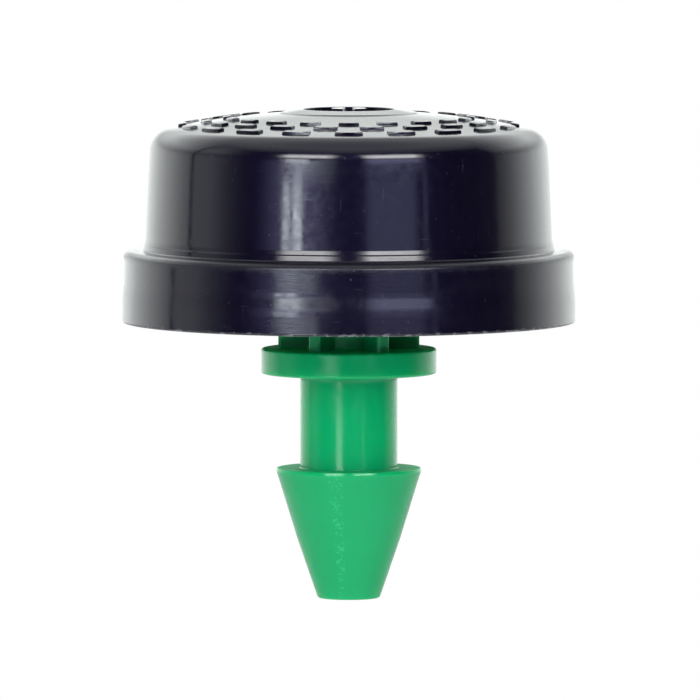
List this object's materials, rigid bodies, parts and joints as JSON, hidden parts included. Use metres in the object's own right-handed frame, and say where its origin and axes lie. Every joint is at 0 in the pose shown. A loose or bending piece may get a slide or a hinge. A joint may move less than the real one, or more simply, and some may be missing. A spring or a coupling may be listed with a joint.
{
  "type": "drip emitter",
  "caption": "Pressure-compensating button drip emitter: dark domed cap snapped over a green barbed base, with a filter, labyrinth disc and lifting diaphragm inside.",
  "frame": {"origin": "centre of the flange's underside, where the flange stops against the outside of the tube that the barb is pushed into", "axes": "+Z along the common axis of barb and cap, from the tube towards the outlet; the barb points along -Z. X and Y are square to it, and one of the neck's six ribs lies along +X"},
  "size_m": [0.0192, 0.0192, 0.0207],
  "materials": {
    "barb_plastic": "semi-gloss moulded acetal, green and slightly translucent at its edges",
    "cap_plastic": "glossy moulded plastic, near-black navy, with faint mould and flow lines",
    "filter_plastic": "natural unpigmented polypropylene, matte",
    "labyrinth_plastic": "black moulded polypropylene, satin",
    "diaphragm_silicone": "translucent milky silicone rubber, matte"
  },
  "bodies": {
    "housing": {"barb_base": "barb_plastic", "inlet_filter": "filter_plastic", "labyrinth_disc": "labyrinth_plastic", "cap": "cap_plastic"},
    "regulator": {"diaphragm": "diaphragm_silicone"}
  },
  "joints": [
    {"name": "diaphragm_lift", "type": "slide", "parent": "housing", "child": "regulator", "axis": [0, 0, 1], "range_m": [0, 0.0004]}
  ]
}
